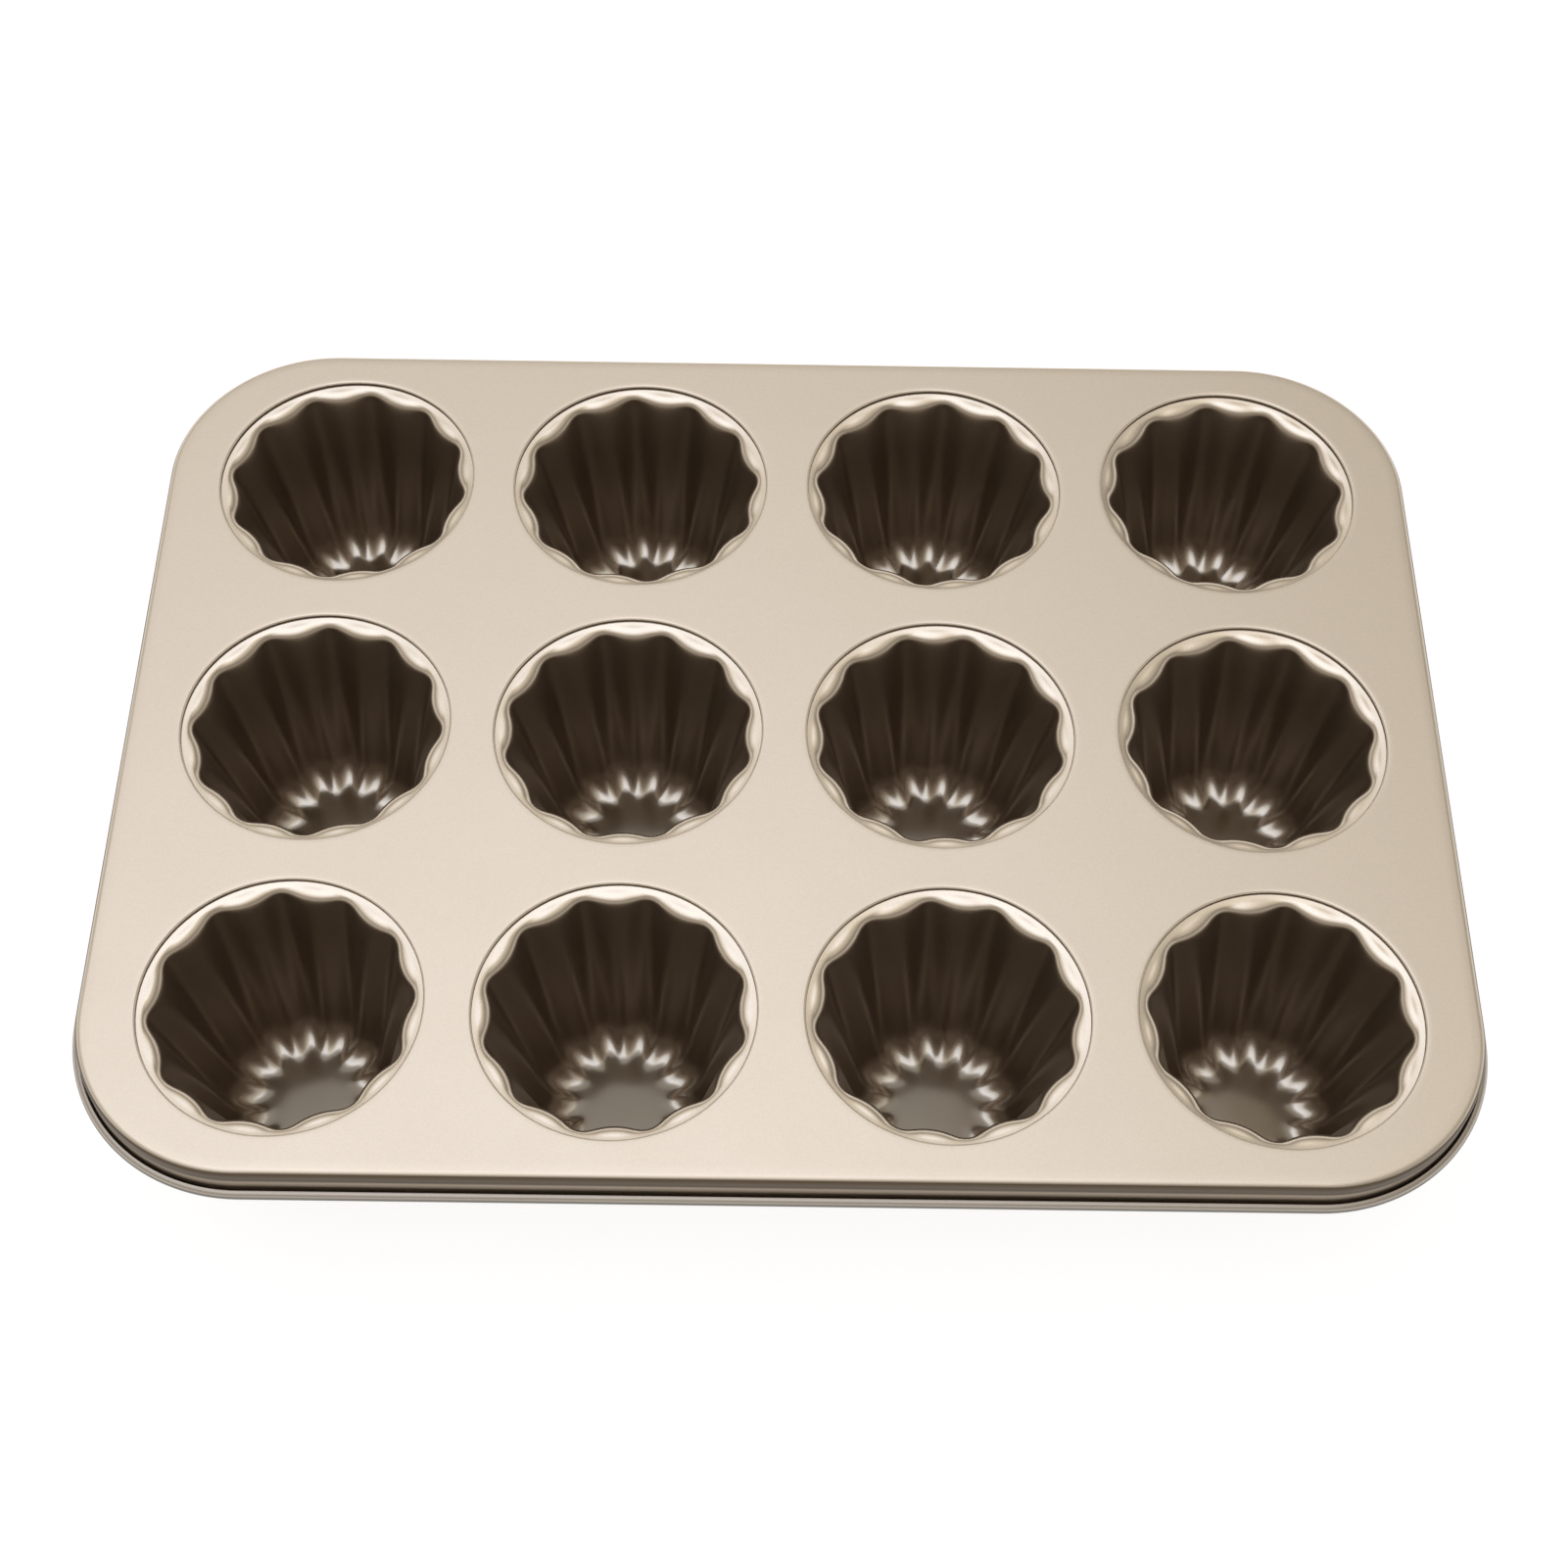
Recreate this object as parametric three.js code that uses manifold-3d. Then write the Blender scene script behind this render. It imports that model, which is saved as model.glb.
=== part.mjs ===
// A twelve-cup fluted muffin pan: one pressed tray with a curled rim, and twelve separate cups joined to it.
// Millimetres, +Z up, X along the long side, the origin on the floor under the middle of the tray.
import * as THREE from 'three';
import { mergeGeometries, mergeVertices } from 'three/addons/utils/BufferGeometryUtils.js';
import Module from 'manifold-3d';

const wasm = await Module();
wasm.setup();

// Cup
const CUP_DEPTH = 50;
const CUP_WALL = 0.6;
const MOUTH_RADIUS = 28.35;
const MOUTH_DROP = 3.6;
const FOOT_RADIUS = 19.2;
const FOOT_RISE = 6;
const FLOOR_RADIUS = 12.5;

// Flutes, as a wave added to the cup's radius
const FLUTES = 12;
const FLUTE_DEPTH = 1.15;
const FOOT_FLUTE_DEPTH = 1;
const LIP_FLUTE_DEPTH = 0.2;
const FLUTE_SHARPNESS = 0.15;

// How far each cup's flutes are turned, row by row from the back, in degrees
const CUP_TURNS = [
  [24, 6, 23, 5],
  [0, 15, 16, 6],
  [7, 17, 7, 22],
];

// Edge of the tray's holes, turned down onto the flanges of the cups, which lap under the sheet
const CLEARANCE = 0.3;
const COLLAR_DROP = 1.3;
const COLLAR_TAPER = 1.4;
const LIP_EASE = 0.25;
const LIP_LAND = 2.2;
const FLANGE_LAP = 2.4;
const FLANGE_SLOPE = THREE.MathUtils.degToRad(8);

// Tray
const CUP_LAND = 6.1;
const END_LAND = 13.1;
const SIDE_LAND = 9.1;
const CORNER_RADIUS = 42;
const SHEET = 0.7;
const SHOULDER_BEND = 0.7;
const RIM_HEIGHT = 10;
const CURL_BORE = 0.7;
const CURL_SWEEP = THREE.MathUtils.degToRad(285);

// Facets
const STEPS_PER_FLUTE = 4;
const HOLE_STEPS = 32;
const CORNER_STEPS = 5;
const SHOULDER_STEPS = 2;
const CURL_STEPS = 6;

// Finish of the coated steel
const TRAY_COLOUR = 0xd9cab5;
const CUP_COLOUR = 0xc9b79f;
const ROUGHNESS = 0.32;
const METALNESS = 0.9;

const TOP = CUP_DEPTH + CUP_WALL;
const FLUTE_TIP = MOUTH_RADIUS + FLUTE_DEPTH * (1 + FLUTE_SHARPNESS);
const LIP_RADIUS = FLUTE_TIP + LIP_EASE;
const HOLE_RADIUS = LIP_RADIUS + LIP_LAND;
const FLANGE_RADIUS = HOLE_RADIUS + FLANGE_LAP;
const PITCH = 2 * FLANGE_RADIUS + CUP_LAND;
const COLUMN_SPAN = (CUP_TURNS[0].length - 1) * PITCH;
const ROW_SPAN = (CUP_TURNS.length - 1) * PITCH;
const HALF_LENGTH = COLUMN_SPAN / 2 + FLANGE_RADIUS + END_LAND;
const HALF_WIDTH = ROW_SPAN / 2 + FLANGE_RADIUS + SIDE_LAND;

// Height of the flange's upper face, a shallow cone that goes down towards the cup's axis
function flangeHeight(radius) {
  return TOP - COLLAR_DROP - CLEARANCE - (HOLE_RADIUS - radius) * Math.tan(FLANGE_SLOPE);
}

// Points along an arc, both ends included
function arc(centre, radius, from, to, steps) {
  const points = [];
  for (let i = 0; i <= steps; i += 1) {
    const angle = from + ((to - from) * i) / steps;
    points.push(new THREE.Vector2(centre.x + radius * Math.cos(angle), centre.y + radius * Math.sin(angle)));
  }
  return points;
}

// A closed mesh with shared vertices and no collapsed triangles
function welded(geometry) {
  geometry.deleteAttribute('normal');
  geometry.deleteAttribute('uv');
  const merged = mergeVertices(geometry, 1e-4);
  const index = merged.getIndex().array;
  const kept = [];
  for (let i = 0; i < index.length; i += 3) {
    const [a, b, c] = [index[i], index[i + 1], index[i + 2]];
    if (a !== b && b !== c && c !== a) kept.push(a, b, c);
  }
  merged.setIndex(kept);
  return merged;
}

function toSolid(geometry) {
  const closed = welded(geometry);
  const vertProperties = new Float32Array(closed.getAttribute('position').array);
  const triVerts = new Uint32Array(closed.getIndex().array);
  return new wasm.Manifold(new wasm.Mesh({ numProp: 3, vertProperties, triVerts }));
}

function toGeometry(solid) {
  const mesh = solid.getMesh();
  const geometry = new THREE.BufferGeometry();
  geometry.setAttribute('position', new THREE.BufferAttribute(mesh.vertProperties, 3));
  geometry.setIndex(new THREE.BufferAttribute(mesh.triVerts, 1));
  return geometry;
}

// A lathe turned about +Z
function turned(profile, steps) {
  return new THREE.LatheGeometry(profile, steps).rotateX(Math.PI / 2);
}

// Where the cups stand, row 1 at the back and column 1 on the left
function cupPlaces() {
  const places = [];
  CUP_TURNS.forEach((row, r) => row.forEach((turn, c) => {
    const x = c * PITCH - COLUMN_SPAN / 2;
    const y = ROW_SPAN / 2 - r * PITCH;
    places.push({ name: `cup_r${r + 1}_c${c + 1}`, x, y, turn: THREE.MathUtils.degToRad(turn) });
  }));
  return places;
}

// Section of the tray from its underside out to the curl and back along its top; x is the distance from the
// centre of a corner
function traySection() {
  const curlRadius = CURL_BORE + SHEET;
  const curlCentre = new THREE.Vector2(CORNER_RADIUS - curlRadius, TOP - RIM_HEIGHT + curlRadius);
  const skirt = curlCentre.x - CURL_BORE;
  const bendOutside = SHOULDER_BEND + SHEET;
  const bendCentre = new THREE.Vector2(skirt - bendOutside, TOP - bendOutside);
  const curlEnd = Math.PI + CURL_SWEEP;
  return [
    new THREE.Vector2(0, TOP - SHEET),
    ...arc(bendCentre, SHOULDER_BEND, Math.PI / 2, 0, SHOULDER_STEPS),
    ...arc(curlCentre, curlRadius, Math.PI, curlEnd, CURL_STEPS),
    ...arc(curlCentre, CURL_BORE, curlEnd, Math.PI, CURL_STEPS - 1),
    ...arc(bendCentre, bendOutside, 0, Math.PI / 2, SHOULDER_STEPS + 1),
    new THREE.Vector2(0, TOP),
  ];
}

// The pressed blank: a lathe of the section with its four quarters pulled apart to the corners of the tray,
// and the rectangle left in the middle filled above and below
function trayBlank() {
  const section = traySection();
  const perCorner = CORNER_STEPS + 1;
  const columns = 4 * perCorner;
  const middleX = HALF_LENGTH - CORNER_RADIUS;
  const middleY = HALF_WIDTH - CORNER_RADIUS;
  const blank = new THREE.LatheGeometry(section, columns);
  const position = blank.getAttribute('position');
  for (let i = 0; i < position.count; i += 1) {
    const point = section[i % section.length];
    const column = Math.floor(i / section.length) % columns;
    const corner = Math.floor(column / perCorner);
    const angle = (corner + (column % perCorner) / CORNER_STEPS) * (Math.PI / 2);
    const signX = corner === 0 || corner === 3 ? 1 : -1;
    const signY = corner < 2 ? 1 : -1;
    const x = signX * middleX + point.x * Math.cos(angle);
    const y = signY * middleY + point.x * Math.sin(angle);
    position.setXYZ(i, x, y, point.y);
  }
  const upper = new THREE.PlaneGeometry(2 * middleX, 2 * middleY).translate(0, 0, TOP);
  const lower = new THREE.PlaneGeometry(2 * middleX, 2 * middleY).rotateX(Math.PI).translate(0, 0, TOP - SHEET);
  return toSolid(mergeGeometries([blank, upper, lower]));
}

// What the turned edge of a hole adds under the sheet
function holeCollar() {
  return toSolid(turned([
    new THREE.Vector2(0, TOP - COLLAR_DROP),
    new THREE.Vector2(HOLE_RADIUS, TOP - COLLAR_DROP),
    new THREE.Vector2(HOLE_RADIUS + COLLAR_TAPER, TOP - SHEET),
    new THREE.Vector2(0, TOP - SHEET),
  ], HOLE_STEPS));
}

// What is punched out for a cup
function holePunch() {
  return toSolid(turned([
    new THREE.Vector2(0, TOP - COLLAR_DROP),
    new THREE.Vector2(HOLE_RADIUS, TOP - COLLAR_DROP),
    new THREE.Vector2(HOLE_RADIUS, TOP),
    new THREE.Vector2(0, TOP),
  ], HOLE_STEPS));
}

function traySheet() {
  const collar = holeCollar();
  const punch = holePunch();
  let tray = trayBlank();
  for (const { x, y } of cupPlaces()) tray = tray.add(collar.translate([x, y, 0]));
  for (const { x, y } of cupPlaces()) tray = tray.subtract(punch.translate([x, y, 0]));
  return toGeometry(tray);
}

// The same path moved sideways to its right by a wall's thickness
function offsetPath(path, distance) {
  const normals = path.slice(1).map((point, i) => {
    const along = point.clone().sub(path[i]).normalize();
    return new THREE.Vector2(along.y, -along.x);
  });
  return path.map((point, i) => {
    const before = normals[Math.max(i - 1, 0)];
    const after = normals[Math.min(i, normals.length - 1)];
    const mitre = before.clone().add(after).multiplyScalar(distance / (1 + before.dot(after)));
    return point.clone().add(mitre);
  });
}

// Inside of a cup from the middle of its floor to the edge of its flange, with the flutes' depth at each point
function cupInside() {
  return {
    path: [
      new THREE.Vector2(0, CUP_WALL),
      new THREE.Vector2(FLOOR_RADIUS, CUP_WALL),
      new THREE.Vector2(FOOT_RADIUS, CUP_WALL + FOOT_RISE),
      new THREE.Vector2(MOUTH_RADIUS, TOP - MOUTH_DROP),
      new THREE.Vector2(LIP_RADIUS, flangeHeight(LIP_RADIUS)),
      new THREE.Vector2(FLANGE_RADIUS, flangeHeight(FLANGE_RADIUS)),
    ],
    depths: [0, 0, FOOT_FLUTE_DEPTH, FLUTE_DEPTH, LIP_FLUTE_DEPTH, 0],
  };
}

// Wave of the flutes round the cup: plain ridges inside and slightly sharper crests outside
function fluteWave(angle) {
  return Math.cos(FLUTES * angle) + FLUTE_SHARPNESS * Math.cos(2 * FLUTES * angle);
}

// A cup: the inside path and its offset closed into one section, turned, then pushed in and out by the flutes
function flutedCup() {
  const { path, depths } = cupInside();
  const profile = [...offsetPath(path, CUP_WALL), ...path.toReversed()];
  const depthAt = [...depths, ...depths.toReversed()];
  const steps = FLUTES * STEPS_PER_FLUTE;
  const cup = new THREE.LatheGeometry(profile, steps);
  const position = cup.getAttribute('position');
  for (let i = 0; i < position.count; i += 1) {
    const j = i % profile.length;
    const step = Math.floor(i / profile.length) % steps;
    const angle = (step / steps) * 2 * Math.PI;
    const radius = profile[j].x + depthAt[j] * fluteWave(angle);
    position.setXYZ(i, radius * Math.cos(angle), radius * Math.sin(angle), profile[j].y);
  }
  return welded(cup);
}

function coatedSteel(color) {
  return new THREE.MeshStandardMaterial({ color, roughness: ROUGHNESS, metalness: METALNESS });
}

function named(name, geometry, material) {
  const mesh = new THREE.Mesh(geometry, material);
  mesh.name = name;
  return mesh;
}

const pan = new THREE.Group();
pan.name = 'muffin_pan';
pan.add(named('tray_sheet', traySheet(), coatedSteel(TRAY_COLOUR)));

const cups = new THREE.Group();
const cupMaterial = coatedSteel(CUP_COLOUR);
for (const { name, x, y, turn } of cupPlaces()) {
  const cup = named(name, flutedCup(), cupMaterial);
  cup.position.set(x, y, 0);
  cup.rotation.z = turn;
  cups.add(cup);
}
pan.add(cups);

export default pan;
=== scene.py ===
# %% [markdown]
# A fluted muffin pan
#
# The pan is thirteen pieces of thin coated steel: one pressed tray with a curled rim, and twelve deep
# fluted cups. Each cup hangs by a flange that laps under the turned-down edge of its hole. This lesson
# models the tray and one cup by hand, copies the cup to its twelve places, gives both a satin champagne
# coating, and lights them on a pale floor. It starts by loading the plain solids, which fix the sizes that
# the finer pieces have to keep.

# %% The fixed frame
import math
from collections import namedtuple

import bmesh
import bpy
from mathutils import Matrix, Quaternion, Vector


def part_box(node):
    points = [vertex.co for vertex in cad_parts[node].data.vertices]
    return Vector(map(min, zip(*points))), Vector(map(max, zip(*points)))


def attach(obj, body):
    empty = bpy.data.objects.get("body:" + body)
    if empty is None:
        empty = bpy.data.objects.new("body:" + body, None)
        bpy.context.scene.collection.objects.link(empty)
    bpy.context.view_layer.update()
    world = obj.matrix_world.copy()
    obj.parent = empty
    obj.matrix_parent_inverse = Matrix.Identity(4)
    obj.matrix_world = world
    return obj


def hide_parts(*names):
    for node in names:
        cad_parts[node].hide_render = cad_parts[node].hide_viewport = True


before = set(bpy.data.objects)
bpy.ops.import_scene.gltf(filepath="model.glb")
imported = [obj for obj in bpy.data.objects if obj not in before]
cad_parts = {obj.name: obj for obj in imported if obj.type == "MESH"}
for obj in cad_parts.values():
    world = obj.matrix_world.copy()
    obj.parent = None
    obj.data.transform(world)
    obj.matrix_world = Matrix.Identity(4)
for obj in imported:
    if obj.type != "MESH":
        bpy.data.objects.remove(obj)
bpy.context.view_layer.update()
MM = 0.001
cup_names = sorted(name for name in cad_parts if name.startswith("cup_"))
print("the frame holds", len(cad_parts), "pieces,", len(cup_names), "of them cups")

# %% [markdown]
# Sizes
#
# Everything here is read from the frame where it can be: the tray's outline and height come from its box,
# and the cups stand at the middle of theirs. What a box can't tell, such as the sheet's thickness or the
# bend of a shoulder, is written once as a named size. Working in named sizes keeps every later step short
# and honest.

# %% Sizes of the tray and the cups
tray_low, tray_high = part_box("tray_sheet")
HALF_LENGTH = tray_high.x
HALF_WIDTH = tray_high.y
TOP = tray_high.z
RIM_FOOT = tray_low.z

SHEET = 0.7 * MM
CORNER_RADIUS = 42 * MM
SHOULDER_BEND = 1.7 * MM
CURL_BORE = 0.7 * MM
CURL_SWEEP = math.radians(273)
CURL_EASE = 0.02 * MM

CUP_WALL = 0.6 * MM
HOLE_RADIUS = 32.1 * MM
COLLAR_BEND = 0.6 * MM
COLLAR_DROP = 1.0 * MM
FLANGE_RADIUS = 34.5 * MM
FLANGE_SLOPE = math.radians(8)
FLANGE_GAP = 0.05 * MM

cup_places = {}
for name in cup_names:
    low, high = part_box(name)
    cup_places[name] = Vector(((low.x + high.x) / 2, (low.y + high.y) / 2, 0))
print("tray", round(2 * HALF_LENGTH / MM, 2), "by", round(2 * HALF_WIDTH / MM, 2), "mm, top at",
      round(TOP / MM, 2), "mm")

# %% [markdown]
# Drawing a profile
#
# Pressed sheet is easiest to model from its section. A section could be a curve with a bevel, but a drawn
# chain of vertices gives clean quads when it is spun, and the mesh stays open to edit. A plane merged to
# its middle leaves one vertex, extrude draws straight stretches from it, and spin draws the round ones.

# %% Helpers that draw and spin a profile
SAME_PLACE = 0.01 * MM


def start_profile(name, place):
    """One vertex at the place, in edit mode, ready to be extruded into a profile."""
    bpy.ops.object.select_all(action="DESELECT")
    bpy.ops.mesh.primitive_plane_add(size=SHEET, location=(0, 0, 0))
    piece = bpy.context.object
    piece.name = name
    piece.data.name = name
    bpy.ops.object.mode_set(mode="EDIT")
    bpy.ops.mesh.merge(type="CENTER")
    bpy.ops.transform.translate(value=place)
    return piece


def draw_by(step):
    """Draws a straight stretch of the profile."""
    bpy.ops.mesh.extrude_region_move(TRANSFORM_OT_translate={"value": step})


def draw_arc(centre, angle, steps):
    """Draws a round stretch of a profile that lies in the XZ plane; a positive angle turns it downwards."""
    bpy.ops.mesh.spin(steps=steps, angle=-angle, center=centre, axis=(0, 1, 0))


def turn_profile(centre, angle, steps):
    """Spins all that is drawn about an upright axis."""
    bpy.ops.mesh.select_all(action="SELECT")
    bpy.ops.mesh.spin(steps=steps, angle=-angle, center=centre, axis=(0, 0, 1))
    bpy.ops.mesh.select_all(action="SELECT")
    bpy.ops.mesh.remove_doubles(threshold=SAME_PLACE)


print("points closer than", SAME_PLACE / MM, "mm count as one")

# %% [markdown]
# The rim of the tray
#
# The press turns the sheet's edge over a round shoulder, straight down into a short skirt, and then
# outwards into a small open curl. One quarter is enough: its profile is drawn at the middle of a round
# corner and spun through ninety degrees. A bevelled curve round the whole tray would pinch at the curl, and
# a spin doesn't.

# %% Rim of one corner
FLAT_EDGE = 2 * MM
BEND_STEPS = 8
CURL_STEPS = 24
CORNER_STEPS = 32
corner = Vector((HALF_LENGTH - CORNER_RADIUS, HALF_WIDTH - CORNER_RADIUS, 0))
curl_x = HALF_LENGTH - CURL_BORE - SHEET - CURL_EASE
curl_z = RIM_FOOT + CURL_BORE + SHEET
shoulder_x = curl_x - CURL_BORE - SHOULDER_BEND

tray = start_profile("tray", (shoulder_x - FLAT_EDGE, corner.y, TOP))
draw_by((FLAT_EDGE, 0, 0))
draw_arc((shoulder_x, corner.y, TOP - SHOULDER_BEND), math.pi / 2, BEND_STEPS)
draw_by((0, 0, curl_z - (TOP - SHOULDER_BEND)))
draw_arc((curl_x, corner.y, curl_z), -CURL_SWEEP, CURL_STEPS)
turn_profile(corner, math.pi / 2, CORNER_STEPS)
print("corner of the rim:", len(bmesh.from_edit_mesh(tray.data).verts), "vertices")

# %% [markdown]
# The straight sides and the other corners
#
# Between its round corners the real rim runs straight. The two open ends of the spun corner are selected by
# their place and extruded to the middle of the tray. A Mirror modifier in two directions then makes the
# other three quarters. They could be modelled one by one, but a mirror can't come out uneven.


# %% Straight sides and the other three corners
def close_to(a, b):
    return abs(a - b) < SAME_PLACE


def pick(piece, wanted):
    """Selects, in edit mode, the vertices whose place is wanted and what lies between them."""
    bpy.ops.mesh.select_all(action="DESELECT")
    shape = bmesh.from_edit_mesh(piece.data)
    for vertex in shape.verts:
        vertex.select = wanted(vertex.co)
    shape.select_flush(True)
    bmesh.update_edit_mesh(piece.data)


pick(tray, lambda p: close_to(p.y, corner.y))
draw_by((0, -corner.y, 0))
pick(tray, lambda p: close_to(p.x, corner.x))
draw_by((-corner.x, 0, 0))
bpy.ops.object.mode_set(mode="OBJECT")
mirror = tray.modifiers.new("other corners", "MIRROR")
mirror.use_axis = (True, True, False)
mirror.merge_threshold = SAME_PLACE
bpy.ops.object.modifier_apply(modifier=mirror.name)
print("whole rim:", len(tray.data.vertices), "vertices")

# %% [markdown]
# The edge of a hole
#
# Round each hole the press turns the sheet's edge down into a short collar, and the flange of a cup laps
# under it. Seen from the front, the far side of that step is the fine dark line round each cup. The edge is
# one profile, a bit of flat sheet, a bend and a short drop, and it is spun all the way round. Cutting the
# holes with a Boolean would leave ragged faces just where that line needs a clean bend.

# %% One hole edge
HOLE_FACETS = 96
hole_edge = start_profile("hole edge", (HOLE_RADIUS + COLLAR_BEND + FLAT_EDGE / 2, 0, TOP))
draw_by((-FLAT_EDGE / 2, 0, 0))
draw_arc((HOLE_RADIUS + COLLAR_BEND, 0, TOP - COLLAR_BEND), -math.pi / 2, BEND_STEPS)
draw_by((0, 0, COLLAR_BEND - COLLAR_DROP))
turn_profile((0, 0, 0), 2 * math.pi, HOLE_FACETS)
bpy.ops.object.mode_set(mode="OBJECT")
print("hole edge:", len(hole_edge.data.vertices), "vertices")

# %% [markdown]
# Twelve holes alike
#
# One tool presses every hole, so the edge is copied to the middle of each cup. The copies and the rim are
# then joined into one mesh, because the real sheet is one piece. An array would do for even rows, but the
# places come from the frame, and copying to them keeps each hole round its cup whatever the spacing is.

# %% Twelve hole edges joined to the rim
hole_edges = []
for place in cup_places.values():
    bpy.ops.object.select_all(action="DESELECT")
    hole_edge.select_set(True)
    bpy.context.view_layer.objects.active = hole_edge
    bpy.ops.object.duplicate()
    copy = bpy.context.object
    bpy.ops.transform.translate(value=place)
    hole_edges.append(copy)
bpy.data.objects.remove(hole_edge)
bpy.ops.object.select_all(action="DESELECT")
for copy in hole_edges:
    copy.select_set(True)
tray.select_set(True)
bpy.context.view_layer.objects.active = tray
bpy.ops.object.join()
print("rim and hole edges:", len(tray.data.vertices), "vertices")

# %% [markdown]
# The flat land
#
# Between the rim and the holes the sheet is flat. The open edges at the top could be bridged pair by pair,
# but selected together they are filled in one step, which takes care of all twelve holes. Then doubles are
# merged and the normals are made to agree, with the face that one sees pointing up.

# %% Land and normals
bpy.ops.object.mode_set(mode="EDIT")
bpy.ops.mesh.select_all(action="DESELECT")
shape = bmesh.from_edit_mesh(tray.data)
for edge in shape.edges:
    edge.select = edge.is_boundary and all(close_to(v.co.z, TOP) for v in edge.verts)
bmesh.update_edit_mesh(tray.data)
bpy.ops.mesh.fill(use_beauty=True)
bpy.ops.mesh.select_all(action="SELECT")
bpy.ops.mesh.remove_doubles(threshold=SAME_PLACE)


def turn_face_up(piece):
    """Makes the normals of a skin agree, in edit mode, and turns them so that most of it faces up."""
    bpy.ops.mesh.normals_make_consistent(inside=False)
    shape = bmesh.from_edit_mesh(piece.data)
    if sum(face.normal.z * face.calc_area() for face in shape.faces) < 0:
        bpy.ops.mesh.flip_normals()


turn_face_up(tray)
bpy.ops.object.mode_set(mode="OBJECT")
print("skin of the tray:", len(tray.data.polygons), "faces")

# %% [markdown]
# The thickness of the sheet
#
# The real sheet is 0.7 mm thick, and one sees its cut edge inside the curl. Extruding along the normals
# would thin the bends, so Solidify does it, with even thickness and only downwards: the skin that was drawn
# stays the visible face. The back takes a finish of its own, because the outside of the curl is the back of
# the sheet.

# %% Thickness of the tray
TRAY_CREASE = math.radians(40)


def give_thickness(piece, thickness, back_finish=0):
    """Thickens a skin on its back and applies it; the back and the edge can take another finish."""
    bpy.context.view_layer.objects.active = piece
    solid = piece.modifiers.new("sheet", "SOLIDIFY")
    solid.thickness = thickness
    solid.material_offset = back_finish
    solid.material_offset_rim = back_finish
    solid.offset = -1
    solid.use_even_offset = True
    bpy.ops.object.modifier_apply(modifier=solid.name)


def smooth_faces(piece, crease):
    """Shades a piece smooth where its faces meet at less than the crease."""
    bpy.ops.object.select_all(action="DESELECT")
    piece.select_set(True)
    bpy.ops.object.shade_smooth_by_angle(angle=crease)


for finish in ("tray face", "tray back"):
    tray.data.materials.append(bpy.data.materials.new(finish))
give_thickness(tray, SHEET, back_finish=1)
smooth_faces(tray, TRAY_CREASE)
print("tray:", len(tray.data.polygons), "faces, size", [round(d / MM, 2) for d in tray.dimensions])

# %% [markdown]
# A fluted cup
#
# The cup is drawn from a round blank, and its wall is pressed into twelve flutes that fade into the round
# flange above and the floor below. The bends at the lip and the foot are where the light catches, as a
# bright edge and as a star of short streaks. The section is written as rings from the flange to the floor,
# each with its radius, its height, the tilt of the metal and the depth of the flutes there. A spun profile
# couldn't carry the flutes.

# %% Sizes of the cup
FLUTES = 12
FLOOR = 0.6 * MM
FOOT_RADIUS = 19.2 * MM
FOOT_HEIGHT = FLOOR + 6 * MM
MOUTH_RADIUS = 28.35 * MM
MOUTH_HEIGHT = TOP - 3.6 * MM
FILLET = 8.5 * MM
CROWN = 0.3 * MM
LIP_BEND = 2.5 * MM
LIP_MARGIN = 0.4 * MM
FLUTE_DEPTH = 1.15 * MM
FLUTE_START = 0.1
FOOT_FLUTE_DEPTH = 1.0 * MM
FLUTE_FADE = 0.7
CREST_PEAK = 0.15
RIDGE_PEAK = -0.12
wall_tilt = math.atan2(MOUTH_HEIGHT - FOOT_HEIGHT, MOUTH_RADIUS - FOOT_RADIUS)
print("the wall of a cup leans", round(90 - math.degrees(wall_tilt), 1), "degrees outwards")

# %% [markdown]
# The flange and the lip
#
# The flange slopes a little towards the mouth, and a round lip leads from it into the wall. The lip's
# circle has to touch both the flange and the wall, so its centre is worked out from where the two would
# meet. It could be bevelled afterwards, but the flutes start in the lip, so it needs rings of its own.

# %% Rings of the flange and the lip
LIP_RINGS = 4
Ring = namedtuple("Ring", "radius height tilt depth peak")


def flange_height(radius):
    """Height of the flange's upper face, which goes down towards the axis."""
    return TOP - COLLAR_DROP - FLANGE_GAP - (HOLE_RADIUS - radius) * math.tan(FLANGE_SLOPE)


def spread(first, last, count):
    """Evenly spaced numbers, both ends included."""
    return [first + (last - first) * i / (count - 1) for i in range(count)]


lip_radius = ((flange_height(0) - MOUTH_HEIGHT + MOUTH_RADIUS * math.tan(wall_tilt))
              / (math.tan(wall_tilt) - math.tan(FLANGE_SLOPE)))
lip_run = LIP_BEND * math.tan((wall_tilt - FLANGE_SLOPE) / 2)
lip_start = lip_radius + lip_run * math.cos(FLANGE_SLOPE)
lip_centre = (lip_start + LIP_BEND * math.sin(FLANGE_SLOPE),
              flange_height(lip_start) - LIP_BEND * math.cos(FLANGE_SLOPE))
rings = []
for radius in (FLANGE_RADIUS, (FLANGE_RADIUS + lip_start) / 2, lip_start + LIP_MARGIN):
    rings.append(Ring(radius, flange_height(radius), FLANGE_SLOPE, 0, 0))
for tilt in spread(FLANGE_SLOPE, wall_tilt, LIP_RINGS):
    share = (tilt - FLANGE_SLOPE) / (wall_tilt - FLANGE_SLOPE)
    rings.append(Ring(lip_centre[0] - LIP_BEND * math.sin(tilt), lip_centre[1] + LIP_BEND * math.cos(tilt),
                      tilt, FLUTE_DEPTH * (FLUTE_START + (1 - FLUTE_START) * share), CREST_PEAK))
print("lip:", len(rings), "rings down to", round(rings[-1].height / MM, 2), "mm")

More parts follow.
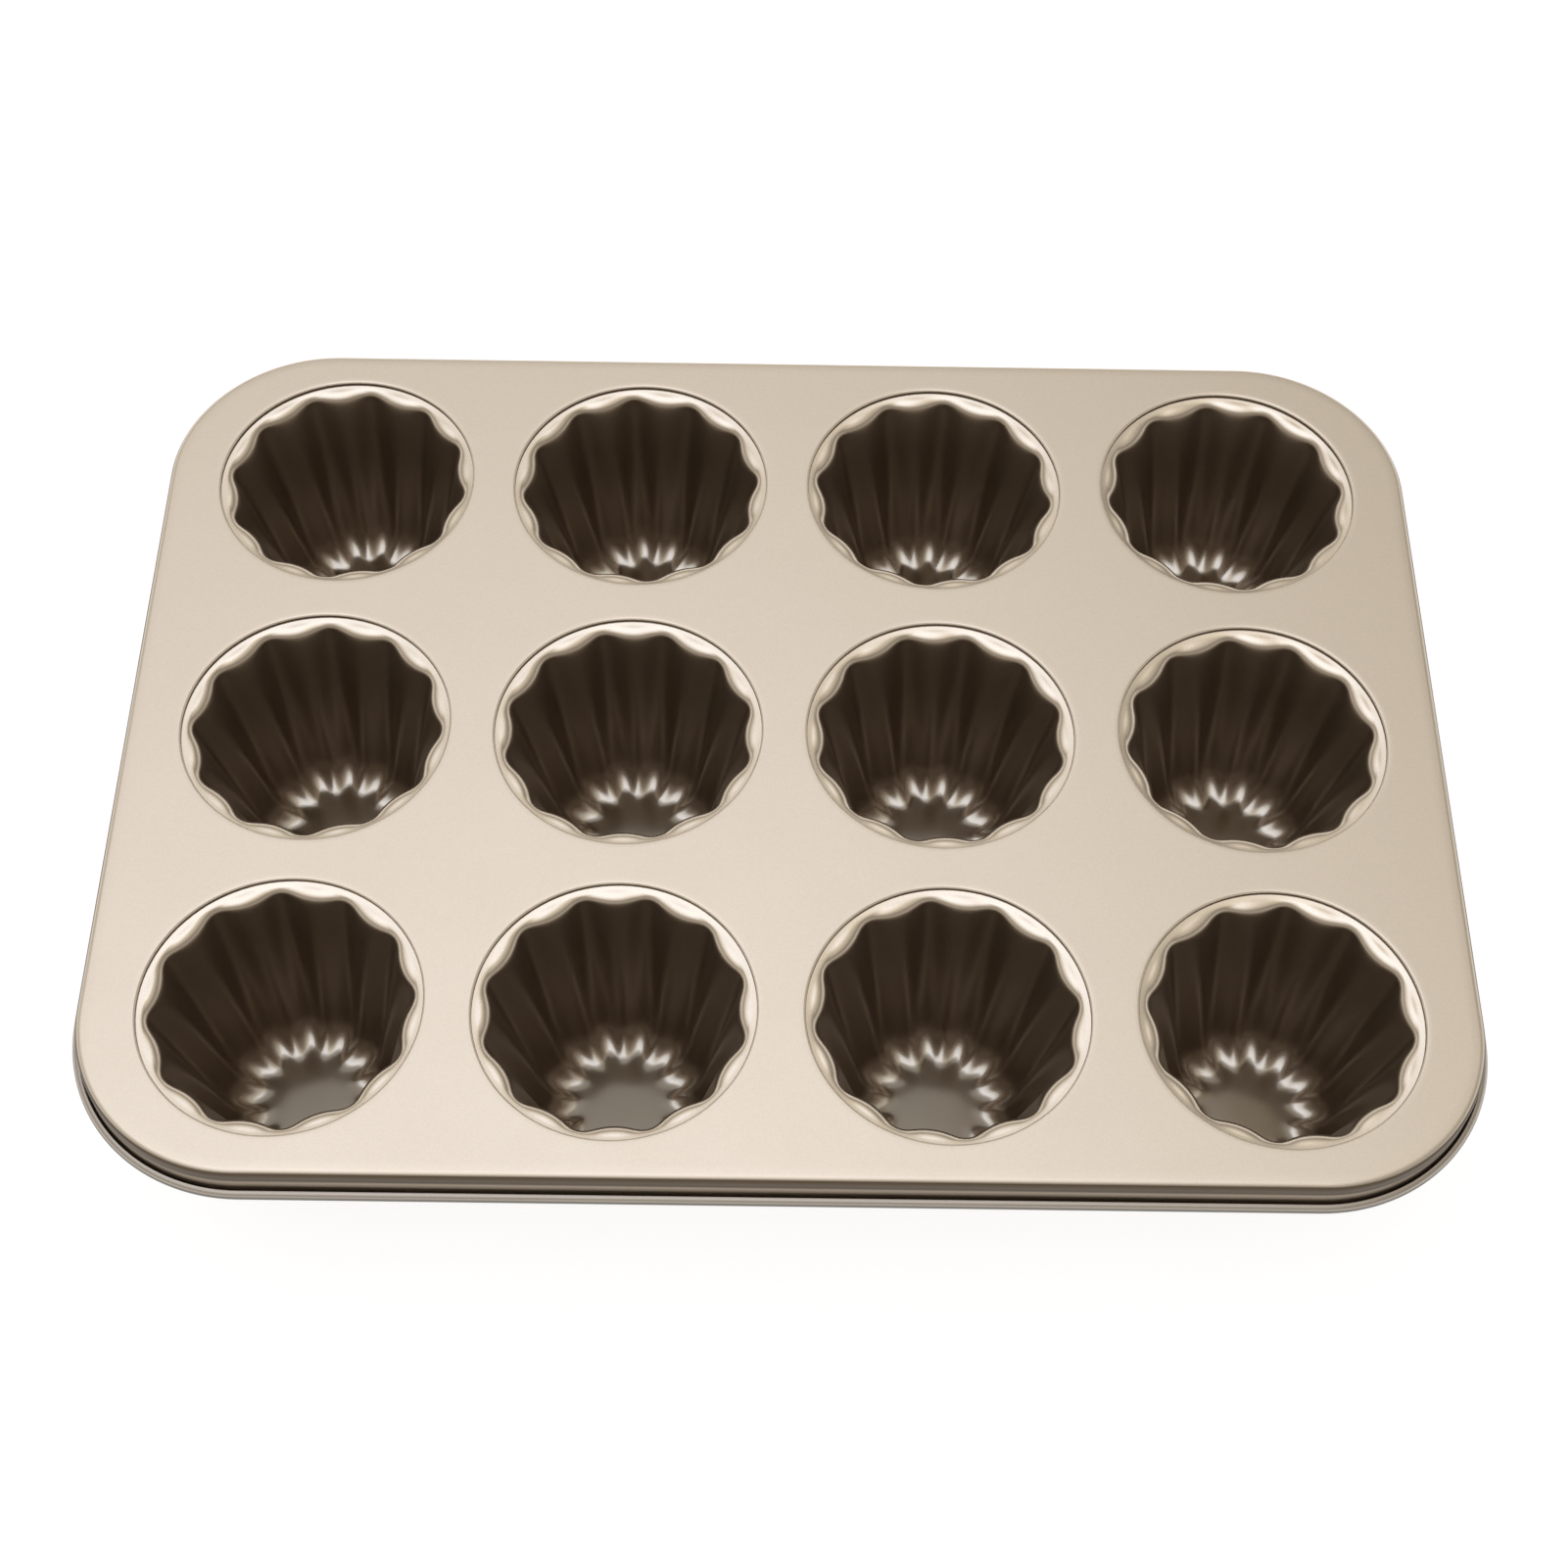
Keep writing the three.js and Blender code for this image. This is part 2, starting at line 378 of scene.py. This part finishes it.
# %% [markdown]
# The wall, the foot and the floor
#
# The wall is straight between the lip and a round bend at the foot. The flutes run down it and die out
# through that bend, and the floor rises a little to the middle, as thin sheet does when the press lets go.
# A ring or two on each straight stretch is enough, since the surface is smoothed later.

# %% Rings of the wall, the foot and the floor
WALL_SHARES = (0.12, 0.4, 0.7)
FOOT_RINGS = 5
FLOOR_SHARES = (0.7, 0.4)


def wall_radius(height):
    return MOUTH_RADIUS + (height - MOUTH_HEIGHT) / math.tan(wall_tilt)


fillet_radius = wall_radius(FLOOR) - FILLET * math.tan(wall_tilt / 2)
fillet_top = FLOOR + FILLET * (1 - math.cos(wall_tilt))
lip_foot = rings[-1].height
for share in WALL_SHARES:
    height = lip_foot + (fillet_top - lip_foot) * share
    rings.append(Ring(wall_radius(height), height, wall_tilt,
                      FLUTE_DEPTH + (FOOT_FLUTE_DEPTH - FLUTE_DEPTH) * share,
                      CREST_PEAK + (RIDGE_PEAK - CREST_PEAK) * share))
for tilt in spread(wall_tilt, 0, FOOT_RINGS):
    fading = math.sin(tilt / wall_tilt * math.pi / 2) ** FLUTE_FADE
    rings.append(Ring(fillet_radius + FILLET * math.sin(tilt), FLOOR + FILLET * (1 - math.cos(tilt)),
                      tilt, FOOT_FLUTE_DEPTH * fading, RIDGE_PEAK))
for share in FLOOR_SHARES:
    rings.append(Ring(fillet_radius * share, FLOOR + CROWN * (1 - share ** 2), 0, 0, 0))
print("cup section:", len(rings), "rings from flange to floor")
print("floor", round(fillet_radius / MM, 2), "mm in radius")

# %% [markdown]
# From a ring to a cage
#
# A coarse cage with a Subdivision Surface is what a modeller would use for the flutes: four columns of
# vertices to a flute, one ring for each change along the section. Displacing a fine mesh would need far
# more faces. Subdivision pulls a wave in, so the cage's flutes are made deeper by what it takes, and its
# rounds wider.


# %% Helpers for the cage
COLUMNS = 4 * FLUTES
column_step = 2 * math.pi / COLUMNS
ROUND_GAIN = 3 / (2 + math.cos(column_step))
WAVE_GAIN = 1.5
PEAK_GAIN = 3


def cage_point(ring, column):
    """Radius and height of a cage column that subdivides to the wanted round and flute."""
    phase = FLUTES * column * column_step
    wave = WAVE_GAIN * math.cos(phase) + PEAK_GAIN * ring.peak * math.cos(2 * phase)
    radius = ring.radius * ROUND_GAIN + ring.depth * wave * math.sin(ring.tilt)
    height = ring.height - ring.depth * wave * math.cos(ring.tilt)
    return radius, height


def column_of(place):
    """Which of a flute's four columns a vertex stands in; 0 is the crest and 2 the ridge between crests."""
    return round(math.atan2(place.y, place.x) / column_step) % 4


def pick_numbers(piece, numbers):
    """Selects, in edit mode, the vertices with these numbers and the edges between them."""
    bpy.ops.mesh.select_all(action="DESELECT")
    shape = bmesh.from_edit_mesh(piece.data)
    shape.verts.ensure_lookup_table()
    for number in numbers:
        shape.verts[number].select = True
    shape.select_flush(True)
    bmesh.update_edit_mesh(piece.data)


print("a cage of", COLUMNS, "columns, its rounds wider by a factor of", round(ROUND_GAIN, 4))

# %% [markdown]
# The cage of the cup
#
# The blank is a circle at the flange's edge. It is extruded ring by ring down the section, and at each ring
# the four kinds of column are scaled and moved by themselves, which is what presses the flutes. The last
# loop is merged to the middle of the floor. Building the vertices in one list would be shorter, but it
# would teach nothing about the tools that one uses by hand.

# %% Cage of the cup
bpy.ops.object.select_all(action="DESELECT")
bpy.ops.mesh.primitive_circle_add(vertices=COLUMNS, radius=cage_point(rings[0], 0)[0], location=(0, 0, 0))
cup = bpy.context.object
cup.name = "cup"
bpy.ops.object.mode_set(mode="EDIT")
bpy.ops.transform.translate(value=(0, 0, rings[0].height))
for above, ring in zip(rings, rings[1:]):
    bpy.ops.mesh.extrude_region_move()
    shape = bmesh.from_edit_mesh(cup.data)
    loop = {vertex.index: column_of(vertex.co) for vertex in shape.verts if vertex.select}
    for column in range(4):
        pick_numbers(cup, [number for number, own in loop.items() if own == column])
        old_radius, old_height = cage_point(above, column)
        radius, height = cage_point(ring, column)
        change = radius / old_radius
        bpy.ops.transform.resize(value=(change, change, 1), center_override=(0, 0, old_height))
        bpy.ops.transform.translate(value=(0, 0, height - old_height))
    pick_numbers(cup, loop)
bpy.ops.mesh.extrude_region_move()
bpy.ops.mesh.merge(type="CENTER")
bpy.ops.mesh.select_all(action="SELECT")
turn_face_up(cup)
bpy.ops.object.mode_set(mode="OBJECT")
print("cage of a cup:", len(cup.data.polygons), "faces")

# %% [markdown]
# Smooth skin and wall of the cup
#
# Two levels of subdivision make the pressed metal smooth. Both modifiers are applied, so that the mesh is
# what one sees. The inside, the outside and the lower half of the inside get finishes of their own: painted
# shade on the steep wall and the floor, a painted highlight on the bend at the foot, and on the outside
# painted shade towards the bottom.

# %% Skin, wall and finishes of the cup
CUP_CREASE = math.radians(50)
SMOOTHING = 2
smooth = cup.modifiers.new("drawn smooth", "SUBSURF")
smooth.levels = SMOOTHING
smooth.render_levels = SMOOTHING
bpy.ops.object.modifier_apply(modifier=smooth.name)
for finish in ("cup inside", "cup outside", "cup floor"):
    cup.data.materials.append(bpy.data.materials.new(finish))
give_thickness(cup, CUP_WALL, back_finish=1)
# The lower half of the inside takes the finish with the painted highlight on the bend and painted shade on
# the floor.
for face in cup.data.polygons:
    if face.material_index == 0 and face.center.z < TOP / 2:
        face.material_index = 2
smooth_faces(cup, CUP_CREASE)
print("cup:", len(cup.data.polygons), "faces, size", [round(d / MM, 2) for d in cup.dimensions])

# %% [markdown]
# Twelve cups
#
# On the real pan each cup is turned by chance when it is pressed in, so the flutes of neighbours don't line
# up. Each copy gets its own mesh, its own turn about its axis and its place, and the turn and place are
# then applied to the mesh, so every object rests at the origin. Linked copies would save memory, but each
# cup is a piece of its own, which someone may want to edit alone.

# %% Copies of the cup in their seats
CUP_TURNS = (
    (24, 6, 23, 5),
    (0, 15, 16, 6),
    (7, 17, 7, 22),
)
cups = []
for row, turns in enumerate(CUP_TURNS, 1):
    for column, turn in enumerate(turns, 1):
        node = f"cup_r{row}_c{column}"
        bpy.ops.object.select_all(action="DESELECT")
        cup.select_set(True)
        bpy.context.view_layer.objects.active = cup
        bpy.ops.object.duplicate()
        copy = bpy.context.object
        copy.name = f"fluted_{node}"
        copy.data.name = copy.name
        copy.rotation_euler.z = math.radians(turn)
        copy.location = cup_places[node]
        bpy.ops.object.transform_apply(location=True, rotation=True, scale=True)
        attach(copy, "root")
        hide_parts(node)
        cups.append(copy)
bpy.data.objects.remove(cup)
tray.name = "pressed_tray"
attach(tray, "root")
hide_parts("tray_sheet")
print("placed", len(cups), "cups")

# %% [markdown]
# Nodes that the finishes share
#
# The coating and the sky are both made of numbers that go from one level to another as something else
# changes. A Map Range node does that, and a Math node joins two of them. Wiring each by hand in every
# material would hide the few values that matter, so two small helpers do the wiring.


# %% Helpers for nodes
def fade(tree, source, first, last, smooth=False):
    """A number that goes between two (cue, level) ends with the source."""
    node = tree.nodes.new("ShaderNodeMapRange")
    node.interpolation_type = "SMOOTHSTEP" if smooth else "LINEAR"
    node.inputs["From Min"].default_value, node.inputs["To Min"].default_value = first
    node.inputs["From Max"].default_value, node.inputs["To Max"].default_value = last
    tree.links.new(source, node.inputs["Value"])
    return node.outputs["Result"]


def combine(tree, operation, first, second):
    """A math node whose second input is a socket or a number."""
    node = tree.nodes.new("ShaderNodeMath")
    node.operation = operation
    tree.links.new(first, node.inputs[0])
    if isinstance(second, float):
        node.inputs[1].default_value = second
    else:
        tree.links.new(second, node.inputs[1])
    return node.outputs["Value"]


print("finishes still to be wired:", len(tray.data.materials) + len(cups[0].data.materials))

# %% [markdown]
# The coating
#
# The pan wears a champagne-coloured non-stick coating with fine metal flake, satin and pale. A metallic
# Principled shader gives the satin. One colour alone would leave the steep metal too pale, so painted shade
# and painted dark reflections make it deeper and browner where it is steep, on the skirt, the shoulder and
# the walls of the cups, with a painted highlight on the bend at each cup's foot: the tone follows the
# height of the metal on the rim, and on the cups how level the metal lies. Fine noise in tone and roughness
# and a faint bump keep it from looking like plastic. All of it is fixed to the metal and the same from any
# side.

# %% Painted light and shade, tones and grain of the coating
CHAMPAGNE = (0.80, 0.71, 0.61)
# Painted shade: the darker bronze of the skirt, and of the cups' outsides low down, stands in for shade and
# the shadowed floor's reflection.
SKIRT_PAINTED_SHADE = (0.40, 0.335, 0.27)
# Painted reflection: the dark band round the tray's shoulder stands in for the dim room that the bend
# mirrors.
SHOULDER_PAINTED_REFLECTION = (0.11, 0.083, 0.058)
# Painted light and shade on the curl: a greyer lit lip, and a grey underside in painted shade.
CURL_PALE = (0.5, 0.45, 0.4)
CURL_SHADE = (0.20, 0.185, 0.165)
# Painted shade: the dark bronze walls inside the cups stand in for the shade deep in them.
WALL_PAINTED_SHADE = (0.35, 0.28, 0.217)
# Painted highlight: the paler bend at each cup's foot brightens the streaks of light there.
BEND_PAINTED_HIGHLIGHT = (0.54, 0.495, 0.44)
# Painted shade: the darker floor of each cup.
FLOOR_SHADE = (0.18, 0.15, 0.115)
FLAKE_SCALE, FLAKE_DETAIL = 2600, 2
CLOUD_SCALE, CLOUD_DETAIL = 45, 3
UNEVEN_LOW, UNEVEN_HIGH = (0.0, 0.92), (1.0, 1.08)
GRAIN_STRENGTH = 0.05
GRAIN_HEIGHT = 0.05 * MM
Finish = namedtuple("Finish", "cue low high tones low_roughness high_roughness")


def painted_light_bands(tree, share, finish):
    """A colour that goes through the finish's tones in turn; most are bands of painted shade and painted
    highlight.
    """
    tone = tree.nodes.new("ShaderNodeValToRGB")
    tone.color_ramp.interpolation = "EASE"
    bands = tone.color_ramp.elements
    while len(bands) < len(finish.tones):
        bands.new(1)
    for band, (cue, colour) in zip(bands, finish.tones):
        band.position = (cue - finish.low) / (finish.high - finish.low)
        band.color = (*colour, 1)
    tree.links.new(share, tone.inputs["Fac"])
    return tone.outputs["Color"]


def noise(tree, place, scale, detail):
    """Cloudy noise fixed to the object."""
    node = tree.nodes.new("ShaderNodeTexNoise")
    node.inputs["Scale"].default_value = scale
    node.inputs["Detail"].default_value = detail
    tree.links.new(place, node.inputs["Vector"])
    return node.outputs["Fac"]


print("the coating's flake is about", round(1 / FLAKE_SCALE / MM, 2), "mm across")

# %% [markdown]
# Wiring the coating
#
# One function wires every finish of the pan, since it is one coating. It finds how far along its tones,
# bands of painted shade and painted highlight, a point lies, tints that with the flake, blends the
# roughness in the same way and makes it cloudy, and lets the flake stand out by a hair. Separate materials
# wired by hand would drift apart when one is changed.


# %% Coating material
def coating_and_painted_shade(material, finish):
    """A satin coating with fine flake, with bands of painted shade and painted highlight by the height of
    the metal, or on the cups by how level it lies.
    """
    material.use_nodes = True
    tree = material.node_tree
    shader = tree.nodes["Principled BSDF"]
    shader.inputs["Metallic"].default_value = 1.0
    place = tree.nodes.new("ShaderNodeTexCoord").outputs["Object"]
    cue = place
    if finish.cue == "level":
        cue = tree.nodes.new("ShaderNodeNewGeometry").outputs["Normal"]
    split = tree.nodes.new("ShaderNodeSeparateXYZ")
    tree.links.new(cue, split.inputs["Vector"])
    share = fade(tree, split.outputs["Z"], (finish.low, 0.0), (finish.high, 1.0))
    flake = noise(tree, place, FLAKE_SCALE, FLAKE_DETAIL)
    tint = tree.nodes.new("ShaderNodeVectorMath")
    tint.operation = "SCALE"
    tree.links.new(painted_light_bands(tree, share, finish), tint.inputs[0])
    tree.links.new(fade(tree, flake, UNEVEN_LOW, UNEVEN_HIGH), tint.inputs["Scale"])
    tree.links.new(tint.outputs["Vector"], shader.inputs["Base Color"])
    satin = fade(tree, share, (0.0, finish.low_roughness), (1.0, finish.high_roughness))
    cloud = fade(tree, noise(tree, place, CLOUD_SCALE, CLOUD_DETAIL), UNEVEN_LOW, UNEVEN_HIGH)
    tree.links.new(combine(tree, "MULTIPLY", satin, cloud), shader.inputs["Roughness"])
    grain = tree.nodes.new("ShaderNodeBump")
    grain.inputs["Strength"].default_value = GRAIN_STRENGTH
    grain.inputs["Distance"].default_value = GRAIN_HEIGHT
    tree.links.new(flake, grain.inputs["Height"])
    tree.links.new(grain.outputs["Normal"], shader.inputs["Normal"])
    print("coated:", material.name)


# %% [markdown]
# The finishes of the tray and the cups
#
# The face of the tray is pale on top, with a painted dark reflection round the shoulder and painted shade
# on the skirt. Its back shows on the curl, which has a painted greyer lip and a grey underside of painted
# shade. Inside a cup the lip is pale and the wall carries painted shade; the bend at the foot is glossier
# and carries a painted highlight, where the streaks of light lie, and the floor is painted dark with shade
# again. The outside of a cup is painted darker towards the bottom. Tones are given as pairs of a cue and a
# colour, so that a band can be moved without touching the nodes.

# %% Finishes of the tray and the cups
SATIN = 0.36
WALL_SATIN = 0.42
LIP_GLOSS = 0.2
FLOOR_GLOSS = 0.16
STEEP = 0.45
# The tray's face: painted shade on the skirt, a painted dark reflection round the shoulder, champagne on
# top.
face_tones = (
    (TOP - 6.8 * MM, SKIRT_PAINTED_SHADE),
    (TOP - 4.4 * MM, SKIRT_PAINTED_SHADE),
    (TOP - 3.2 * MM, SHOULDER_PAINTED_REFLECTION),
    (TOP - 0.65 * MM, SHOULDER_PAINTED_REFLECTION),
    (TOP - 0.25 * MM, CHAMPAGNE),
)
# The tray's back: painted shade on the curl's underside, a painted greyer lip above it, champagne higher
# up.
back_tones = (
    (RIM_FOOT + 1.9 * MM, CURL_SHADE),
    (RIM_FOOT + 2.3 * MM, CURL_PALE),
    (RIM_FOOT + 2.8 * MM, CURL_PALE),
    (TOP - 2 * MM, CHAMPAGNE),
)
# Inside a cup: painted shade on the steep walls, champagne where the lip lies level.
inside_tones = ((STEEP, WALL_PAINTED_SHADE), (0.93, CHAMPAGNE))
# The lower half of the inside: painted shade on the wall, a painted highlight on the bend at the foot,
# painted shade on the floor.
floor_tones = (
    (STEEP, WALL_PAINTED_SHADE),
    (0.84, BEND_PAINTED_HIGHLIGHT),
    (0.955, BEND_PAINTED_HIGHLIGHT),
    (0.999, FLOOR_SHADE),
)
# The outside of a cup is painted darker towards the bottom with the skirt's painted shade.
outside_tones = ((0, SKIRT_PAINTED_SHADE), (TOP, CHAMPAGNE))
finishes = {
    "tray face": Finish("height", RIM_FOOT, TOP, face_tones, SATIN, SATIN),
    "tray back": Finish("height", RIM_FOOT, TOP, back_tones, SATIN, SATIN),
    "cup inside": Finish("level", STEEP, 0.93, inside_tones, WALL_SATIN, LIP_GLOSS),
    "cup floor": Finish("level", STEEP, 1.0, floor_tones, WALL_SATIN, FLOOR_GLOSS),
    "cup outside": Finish("height", 0, TOP, outside_tones, SATIN, SATIN),
}
for name, finish in finishes.items():
    coating_and_painted_shade(bpy.data.materials[name], finish)

# %% [markdown]
# The floor
#
# The pan stands on plain white paper. White paper under strong light would throw light up at the pan and
# pale its underside, so the floor is a mid grey that takes the shadow, and glows by as much as is missing
# to white only for rays from the camera, from mirrors and through glass. Metal then mirrors a white floor
# too.

# %% Floor
FLOOR_SIZE = 6.0
PAPER = (0.3, 0.3, 0.3, 1)
PAPER_GLOW = 0.84
bpy.ops.object.select_all(action="DESELECT")
bpy.ops.mesh.primitive_plane_add(size=FLOOR_SIZE, location=(0, 0, 0))
floor = bpy.context.object
floor.name = "floor"
white = bpy.data.materials.new("white floor")
white.use_nodes = True
tree = white.node_tree
paper = tree.nodes["Principled BSDF"]
paper.inputs["Base Color"].default_value = PAPER
paper.inputs["Roughness"].default_value = 0.9
paper.inputs["Emission Color"].default_value = (1, 1, 1, 1)
seen = tree.nodes.new("ShaderNodeLightPath").outputs
mirrored = combine(tree, "MAXIMUM", seen["Is Glossy Ray"], seen["Is Transmission Ray"])
shown = combine(tree, "MAXIMUM", mirrored, seen["Is Camera Ray"])
tree.links.new(combine(tree, "MULTIPLY", shown, PAPER_GLOW), paper.inputs["Emission Strength"])
floor.data.materials.append(white)
print("floor", FLOOR_SIZE, "m wide")

# %% [markdown]
# The sky
#
# Satin metal shows what surrounds it, so the light is a room rather than lamps: a wide soft box overhead,
# which the tray mirrors, dimmer on the right, with pale walls at the horizon for the rim and for low views.
# Area lamps would give hard streaks in the cups. Where the room is dim it is also warmer, as in a room lit
# from one side. In the world shader the Generated coordinates are the direction one looks in, so Z is how
# high and X how far to the right.

# %% Sky
SKY_EDGE, SKY_TOP = (0.5, 0.24), (0.96, 1.35)
LEFT, RIGHT = (0.01, 1.0), (0.4, 0.55)
WALL_FOOT, WALL_END = (0.03, 1.0), (0.8, 0.0)
DIM, BRIGHT = (0.68, 0.0), (1.17, 1.0)
WARM_LIGHT = (1, 0.93, 0.80, 1)
COOL_LIGHT = (1, 1.02, 1.07, 1)
world = bpy.data.worlds.new("soft studio")
bpy.context.scene.world = world
world.use_nodes = True
tree = world.node_tree
sky = tree.nodes["Background"]
direction = tree.nodes.new("ShaderNodeTexCoord")
split = tree.nodes.new("ShaderNodeSeparateXYZ")
tree.links.new(direction.outputs["Generated"], split.inputs["Vector"])
overhead = fade(tree, split.outputs["Z"], SKY_EDGE, SKY_TOP)
side = fade(tree, split.outputs["X"], LEFT, RIGHT, smooth=True)
walls = fade(tree, split.outputs["Z"], WALL_FOOT, WALL_END, smooth=True)
softbox = combine(tree, "MULTIPLY", overhead, side)
tree.links.new(combine(tree, "MAXIMUM", softbox, walls), sky.inputs["Strength"])
warm_side = combine(tree, "MULTIPLY", softbox, side)
warmth = fade(tree, combine(tree, "MAXIMUM", warm_side, walls), DIM, BRIGHT)
hue = tree.nodes.new("ShaderNodeMix")
hue.data_type = "RGBA"
hue.inputs["A"].default_value = WARM_LIGHT
hue.inputs["B"].default_value = COOL_LIGHT
tree.links.new(warmth, hue.inputs["Factor"])
tree.links.new(hue.outputs["Result"], sky.inputs["Color"])
print("sky of", len(tree.nodes), "nodes")

# %% [markdown]
# The camera
#
# The photograph looks down on the pan from the front, a little from the left, with a slight roll. Its
# picture is stretched in height, so no camera with square pixels gives all of it. This one is a compromise
# between the tray's outline and how far one looks into the cups. The lens is given in the photograph's
# pixels, as a fit to the picture gives it, and turned into millimetres for Blender.

# %% Camera
PHOTO_SIZE = 1601
FOCAL_PIXELS = 2571.6
SENSOR = 36.0
ELEVATION = math.radians(58)
AZIMUTH = math.radians(0.43)
ROLL = math.radians(1.15)
DISTANCE = 597.4 * MM
AIM = Vector((0, -15.38 * MM, TOP))
forward = Vector((math.sin(AZIMUTH) * math.cos(ELEVATION), math.cos(AZIMUTH) * math.cos(ELEVATION),
                  -math.sin(ELEVATION)))
bpy.ops.object.camera_add(location=AIM - forward * DISTANCE)
camera = bpy.context.object
camera.rotation_mode = "QUATERNION"
camera.rotation_quaternion = forward.to_track_quat("-Z", "Y") @ Quaternion((0, 0, 1), ROLL)
camera.data.sensor_width = SENSOR
camera.data.lens = FOCAL_PIXELS / PHOTO_SIZE * SENSOR
camera.data.clip_start = 10 * MM
bpy.context.scene.camera = camera
bpy.context.scene.view_settings.view_transform = "Standard"
print("lens", round(camera.data.lens, 1), "mm at", round(DISTANCE / MM), "mm")
